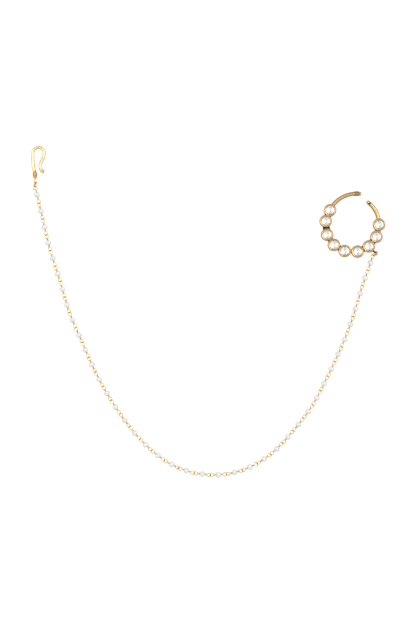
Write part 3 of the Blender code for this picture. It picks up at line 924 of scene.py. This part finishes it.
def make_stones(foil):
    radius = SETTING_RADIUS - RIM_WIDTH - STONE_GAP / 2
    for number, (place, tint) in enumerate(zip(SETTINGS, STONE_TINTS), start=1):
        piece = Piece(f"cut_stone_{number}")
        add_stone_facets(piece, radius)
        turn = Matrix.Rotation(random.uniform(-STONE_TURN, STONE_TURN), 4, "Z")
        tilt = Matrix.Rotation(random.uniform(-STONE_TILT, STONE_TILT), 4, "X")
        seat = UP * SETTING_HEIGHT
        matrix = Matrix.Translation(place + seat) @ tilt @ turn @ Matrix.Translation(-seat)
        bmesh.ops.transform(piece.bm, matrix=matrix, verts=piece.bm.verts)
        for face in piece.bm.faces:
            face[piece.tone] = foil_tone_and_reflection((face.calc_center_median() - place) / radius)
        glass = crystal_material(f"crystal_{number}", tint)
        piece.finish([glass, foil], [f"stone_{number}"], FACET_ANGLE)


# Jump ring

def jump_ring_heading():
    return polar(1, JUMP_RING_HEADING)


def jump_ring_far_side():
    return eyelet_centre() + jump_ring_heading() * 2 * JUMP_RING_RADIUS


def make_jump_ring(material):
    heading = jump_ring_heading()
    axis = Matrix.Rotation(JUMP_RING_LEAN, 3, heading) @ heading.cross(UP)
    piece = Piece("jump_ring_wire")
    centre = eyelet_centre() + heading * JUMP_RING_RADIUS
    piece.torus(centre, axis, JUMP_RING_RADIUS, JUMP_RING_WIRE, JUMP_RING_MESH, JUMP_RING_AGE)
    piece.finish([material], ["jump_ring"])


# The chain

def turning_point(holds, low, high):
    """Where a test that holds at the low end stops holding."""
    for _ in range(BISECTIONS):
        middle = (low + high) / 2
        if holds(middle):
            low = middle
        else:
            high = middle
    return (low + high) / 2


class Catenary:
    """The plain curve of a slack chain between two points of the XY plane."""

    def __init__(self, start, end, length):
        across = end.x - start.x
        rise = end.y - start.y
        flat = math.sqrt(length ** 2 - rise ** 2)
        self.size = turning_point(
            lambda size: flat < 2 * size * math.sinh(across / (2 * size)),
            across / CATENARY_RANGE, across * CATENARY_RANGE,
        )
        self.lowest = (start.x + end.x) / 2 - self.size * math.atanh(rise / length)
        self.base = start.y - self.size * math.cosh((start.x - self.lowest) / self.size)
        self.start_arc = self.size * math.sinh((start.x - self.lowest) / self.size)

    def at(self, arc):
        slope = (self.start_arc + arc) / self.size
        x = self.lowest + self.size * math.asinh(slope)
        y = self.base + self.size * math.cosh((x - self.lowest) / self.size)
        return Vector((x, y, CHAIN_HEIGHT)), Vector((-slope, 1, 0)).normalized()


def sway_at(share):
    """Smooth curve through CHAIN_SWAY, by share of the chain's length."""
    place = share * (len(CHAIN_SWAY) - 1)
    index = min(int(place), len(CHAIN_SWAY) - 2)
    part = place - index
    before, low, high, after = (
        CHAIN_SWAY[max(0, min(index + step, len(CHAIN_SWAY) - 1))] for step in (-1, 0, 1, 2)
    )
    slope_low = (high - before) / 2
    slope_high = (after - low) / 2
    return (
        low * (1 + 2 * part) * (1 - part) ** 2
        + slope_low * part * (1 - part) ** 2
        + high * part ** 2 * (3 - 2 * part)
        + slope_high * part ** 2 * (part - 1)
    )


def eye_offsets():
    """Distance from each joint of the chain to the eyes that meet there."""
    half_step = math.pi / EYE_SECTIONS
    reach = (EYE_RADIUS - EYE_WIRE / 2 * math.cos(math.pi / WIRE_SIDES)) * math.cos(half_step)
    offsets = [reach + EYE_OVERLAP / 2] * (PEARL_COUNT + 1)
    offsets[PEARL_COUNT // 2] = reach - PIECE_GAP / 2
    offsets[0] = reach - HOOK_EYE_WIRE / 2 - END_CLEARANCE
    offsets[-1] = reach - JUMP_RING_WIRE / 2 - END_CLEARANCE
    return offsets


def chain_joints(start, end, offsets):
    """The places where the pins meet each other, the hook and the jump ring."""
    inner = offsets[1]
    lengths = [LINK_PITCH] * PEARL_COUNT
    lengths[0] -= inner - offsets[0] - FIRST_PIN_EXTRA
    lengths[-1] -= inner - offsets[-1]
    total = sum(lengths)
    curve = Catenary(start, end, total)
    joints = []
    for index in range(PEARL_COUNT + 1):
        arc = sum(lengths[:index])
        place, sideways = curve.at(arc)
        joints.append(place + sideways * sway_at(arc / total))
    return joints


def add_pearl(piece, centre, axis):
    """A slightly flattened bead with a dimple at each drill hole, and painted shade towards each hole."""
    side = axis.cross(UP).normalized()
    normal = axis.cross(side)
    width = PEARL_DIAMETER / 2 * random.uniform(*PEARL_SPREAD)
    length = PEARL_LENGTH / 2 * random.uniform(*PEARL_SPREAD)
    seed = Vector((random.random(), random.random(), random.random())) * PEARL_SEED_REACH
    rings = []
    for step in range(PEARL_RINGS + 1):
        turn = math.pi * (step / PEARL_RINGS - 0.5)
        share = max(math.cos(turn), DRILL_RADIUS / width)
        dimple = DRILL_DIMPLE * (1 - smoothstep(*DRILL_SPAN, share))
        along = length * math.sin(turn) - math.copysign(dimple, turn)
        # Painted shade: darker towards the drill holes
        mouth = MOUTH_SHADE * (1 - smoothstep(*MOUTH_SHADE_SPAN, share))
        hole = HOLE_SHADE * (1 - smoothstep(*HOLE_SHADE_SPAN, share))
        ring = piece.ring(centre + axis * along, side, normal, width * share, PEARL_SEGMENTS, mouth + hole)
        for vert in ring:
            unrest = PEARL_UNREST * noise.noise(vert.co * PEARL_UNREST_SCALE + seed)
            vert.co += (vert.co - centre) * unrest
        rings.append(ring)
    piece.loft(rings)


def add_eye(piece, centre, outward, side, pearl_end):
    """A closed eye, its neck, and the wire's tail wrapped round the neck."""
    normal = outward.cross(side)
    piece.torus(centre, normal, EYE_RADIUS, EYE_WIRE, PIN_EYE_MESH, eye_age(centre, outward))
    foot = centre - outward * (EYE_RADIUS - EYE_WIRE * NECK_IN_EYE_SHARE)
    neck = [foot, (foot + pearl_end) / 2, pearl_end - outward * PIN_IN_PEARL]
    piece.tube(neck, [EYE_WIRE / 2] * len(neck), [NECK_AGE] * len(neck), NECK_SIDES)
    places = []
    wrapped = max(0.0, (foot - pearl_end).dot(outward) - 2 * WRAP_MARGIN)
    steps = round(WRAP_TURNS * WRAP_STEPS)
    for step in range(steps + 1):
        share = step / steps
        turn = math.tau * WRAP_TURNS * share
        offset = math.cos(turn) * side + math.sin(turn) * normal
        rise = WRAP_MARGIN + wrapped * share
        places.append(pearl_end + outward * rise + offset * WRAP_RADIUS)
    radii = [WRAP_WIRE / 2] * len(places)
    radii[0] = radii[-1] = WRAP_WIRE / 2 * WRAP_TIP_SHARE
    piece.tube(places, radii, [WRAP_AGE] * len(places), WRAP_SIDES)


def eye_age(centre, outward):
    """The far side of an eye, where the next one rubs and rests, is darker."""
    def age_and_shade(place):
        reach = (place - centre).dot(outward) / EYE_RADIUS
        rubbed, dark = EYE_AGES
        return rubbed + (dark - rubbed) * smoothstep(*EYE_SPAN, reach)
    return age_and_shade


def make_chain(metal, pearl):
    offsets = eye_offsets()
    joints = chain_joints(CENTRE + hook_eye_centre() - Vector((0, HOOK_EYE_RADIUS, 0)),
                          jump_ring_far_side(), offsets)
    half = PEARL_COUNT // 2
    mouth = PEARL_LENGTH / 2 - PEARL_MOUTH
    for suffix, numbers in (("a", range(half)), ("b", range(half, PEARL_COUNT))):
        pearls = Piece(f"pearls_{suffix}")
        pins = Piece(f"pearl_pins_{suffix}")
        for number in numbers:
            first, second = joints[number], joints[number + 1]
            along = (second - first).normalized()
            start = first + along * offsets[number]
            end = second - along * offsets[number + 1]
            middle = (start + end) / 2
            roll = EYE_ROLL if number % 2 else -EYE_ROLL
            side = Matrix.Rotation(roll, 3, along) @ along.cross(UP).normalized()
            add_pearl(pearls, middle, along)
            add_eye(pins, start, -along, side, middle - along * mouth)
            add_eye(pins, end, along, side, middle + along * mouth)
        node = f"pearl_chain_{suffix}"
        pearls.finish([pearl], [node])
        pins.finish([metal], [node])


# The hair hook

def hook_eye_centre():
    return Vector((-HOOK_REACH, HOOK_RISE, CHAIN_HEIGHT))


def resample(points, count):
    """Evenly spaced places on a smooth curve through points."""
    padded = [2 * points[0] - points[1], *points, 2 * points[-1] - points[-2]]
    fine = []
    for a, b, c, d in zip(padded, padded[1:], padded[2:], padded[3:]):
        for step in range(ROUTE_STEPS):
            t = step / ROUTE_STEPS
            fine.append(
                0.5 * (2 * b + (c - a) * t + (2 * a - 5 * b + 4 * c - d) * t ** 2
                       + (3 * b - a - 3 * c + d) * t ** 3)
            )
    fine.append(points[-1])
    walked = [0.0]
    for a, b in zip(fine, fine[1:]):
        walked.append(walked[-1] + (b - a).length)
    spots = []
    for index in range(count):
        goal = walked[-1] * index / (count - 1)
        k = max(i for i in range(len(fine) - 1) if walked[i] <= goal + 1e-12)
        share = (goal - walked[k]) / (walked[k + 1] - walked[k])
        spots.append(fine[k].lerp(fine[k + 1], min(share, 1)))
    return spots


def hook_route():
    """The wire's line: up the shank from the eye, round the bight and back down."""
    def spot(pair):
        return Vector((pair[0] * BIGHT_RADIUS, pair[1] * HOOK_HEIGHT))

    middle = Vector((BIGHT_ACROSS, HOOK_HEIGHT - BIGHT_RADIUS))
    bight = []
    for step in range(BIGHT_STEPS + 1):
        bight.append(middle + polar(BIGHT_RADIUS, math.pi * (1 - step / BIGHT_STEPS)).xy)
    flat = [spot(pair) for pair in SHANK_POINTS] + bight + [spot(pair) for pair in RETURN_POINTS]
    eye = CENTRE + hook_eye_centre()
    drop = CHAIN_HEIGHT - HOOK_WIRE / 2
    places = []
    for point in resample(flat, HOOK_POINTS):
        places.append(eye + Vector((point.x, point.y + HOOK_EYE_RADIUS, -drop * point.y / HOOK_HEIGHT)))
    return places


def hook_radius(place, walked):
    """Radius of the wire, with its thinner neck and thicker collar on the shank."""
    height = place.y - CENTRE.y - hook_eye_centre().y
    if walked > HOOK_HEIGHT:
        return HOOK_WIRE / 2
    off_collar = abs(height - HOOK_COLLAR_HEIGHT) / (HOOK_COLLAR_LENGTH / 2)
    plain = HOOK_NECK_DIAMETER / 2 if height < HOOK_COLLAR_HEIGHT else HOOK_WIRE / 2
    if off_collar >= 1:
        return plain
    return plain + (HOOK_COLLAR_DIAMETER / 2 - plain) * math.cos(off_collar * math.pi / 2)


def make_hook(material):
    points = hook_route()
    walked = [0.0]
    for a, b in zip(points, points[1:]):
        walked.append(walked[-1] + (b - a).length)
    radii = []
    for index, place in enumerate(points):
        radius = hook_radius(place, walked[index])
        radius = rounded_tip(walked[-1] - walked[index], radius)
        radii.append(rounded_tip(walked[index] + HOOK_FOOT_IN_EYE, radius))
    eye = CENTRE + hook_eye_centre()

    def age_and_shade_at(index):
        centre = points[index]
        height = centre.y - eye.y
        added = HOOK_COLLAR_AGE * bump_at(height - HOOK_COLLAR_HEIGHT, HOOK_COLLAR_LENGTH / 2)
        if walked[index] < HOOK_HEIGHT:
            added += HOOK_NECK_AGE * (1 - smoothstep(0.0, HOOK_COLLAR_HEIGHT, height))

        def age_and_shade(place):
            # Painted shade: the wire is darker on its lower sides
            rise = (place.z - centre.z) / radii[index]
            return added + HOOK_SIDE_SHADE * (1 - smoothstep(*HOOK_SIDE_SHADE_SPAN, rise))
        return age_and_shade

    piece = Piece("hook_wire")
    piece.tube(points, radii, [age_and_shade_at(index) for index in range(len(points))], HOOK_SIDES)
    piece.torus(eye, Vector((1, 0, 0)), HOOK_EYE_RADIUS, HOOK_EYE_WIRE, HOOK_EYE_MESH, HOOK_EYE_AGE)
    add_binding(piece, eye)
    piece.finish([material], ["hair_hook"])


def add_binding(piece, eye):
    """Fine wire bound round the neck above the eye, with its cut end left out."""
    places = []
    steps = round(BINDING_TURNS * BINDING_STEPS)
    foot = eye + Vector((0, HOOK_EYE_RADIUS + BINDING_FOOT, 0))
    for step in range(steps + 1):
        left = 1 - step / steps
        turn = math.tau * BINDING_TURNS * left + BINDING_START
        across, up = BINDING_RADIUS * math.cos(turn), BINDING_RADIUS * math.sin(turn)
        places.append(foot + Vector((across, BINDING_LENGTH * left, up)))
    ages_and_shades = [BINDING_AGE] * len(places)
    last_turn = places[-1]
    end = eye + BINDING_TAIL
    for step in range(1, BINDING_TAIL_STEPS + 1):
        share = step / BINDING_TAIL_STEPS
        places.append(last_turn.lerp(end, share) + UP * BINDING_TAIL_ARCH * math.sin(math.pi * share))
        ages_and_shades.append(TAIL_AGES[0] + (TAIL_AGES[1] - TAIL_AGES[0]) * share)
    piece.tube(places, [BINDING_WIRE / 2] * len(places), ages_and_shades, BINDING_SIDES)


# Stage

def make_floor():
    bm = bmesh.new()
    bmesh.ops.create_grid(bm, x_segments=2, y_segments=2, size=TABLE_HALF)
    mesh = bpy.data.meshes.new("table_top")
    bm.to_mesh(mesh)
    bm.free()
    mesh.materials.append(floor_material())
    floor = bpy.data.objects.new("table_top", mesh)
    bpy.context.scene.collection.objects.link(floor)
    floor.location.z = CAD_BOX[0].z - TABLE_DROP


def add_light(name, place, size, strength, colour):
    """A square soft light that faces the origin."""
    data = bpy.data.lights.new(name, "AREA")
    data.shape = "SQUARE"
    data.size = size
    data.energy = strength
    data.color = colour
    light = bpy.data.objects.new(name, data)
    bpy.context.scene.collection.objects.link(light)
    light.location = place
    light.rotation_euler = (-Vector(place)).to_track_quat("-Z", "Y").to_euler()


def make_world():
    """A white room, bright to the left and right, with a dimmer band overhead."""
    bpy.context.scene.world = bpy.data.worlds.new("studio")
    nodes = Nodes(bpy.context.scene.world)
    parts = nodes.add("ShaderNodeSeparateXYZ")
    nodes.link(nodes.add("ShaderNodeTexCoord").outputs["Generated"], parts.inputs["Vector"])
    height = nodes.ramp(parts.outputs["Z"], ROOM_HEIGHTS)
    band = nodes.ramp(nodes.math("ABSOLUTE", parts.outputs["X"]), ROOM_SIDES)
    background = nodes.tree.nodes["Background"]
    nodes.link(nodes.mix(1.0, height, band, "MULTIPLY"), background.inputs["Color"])


def make_camera():
    data = bpy.data.cameras.new("camera")
    data.lens = CAMERA_LENS
    data.sensor_width = SENSOR
    camera = bpy.data.objects.new("camera", data)
    bpy.context.scene.collection.objects.link(camera)
    camera.location = CENTRE - Vector((*HOOP_IN_VIEW, 0))
    camera.location.z = CAMERA_LENS / SENSOR * VIEW_HEIGHT
    bpy.context.scene.camera = camera


def main():
    random.seed(7)
    make_floor()
    make_world()
    for light in LIGHTS:
        add_light(*light)
    make_camera()
    bpy.context.scene.view_settings.view_transform = "Standard"

    old_gold, yellow_gold, pale_gold = (aged_and_shaded_metal(*gold) for gold in (OLD_GOLD, YELLOW_GOLD, PALE_GOLD))
    make_hoop(old_gold)
    make_stones(foil_material())
    make_jump_ring(yellow_gold)
    make_chain(yellow_gold, pearl_material())
    make_hook(pale_gold)


main()
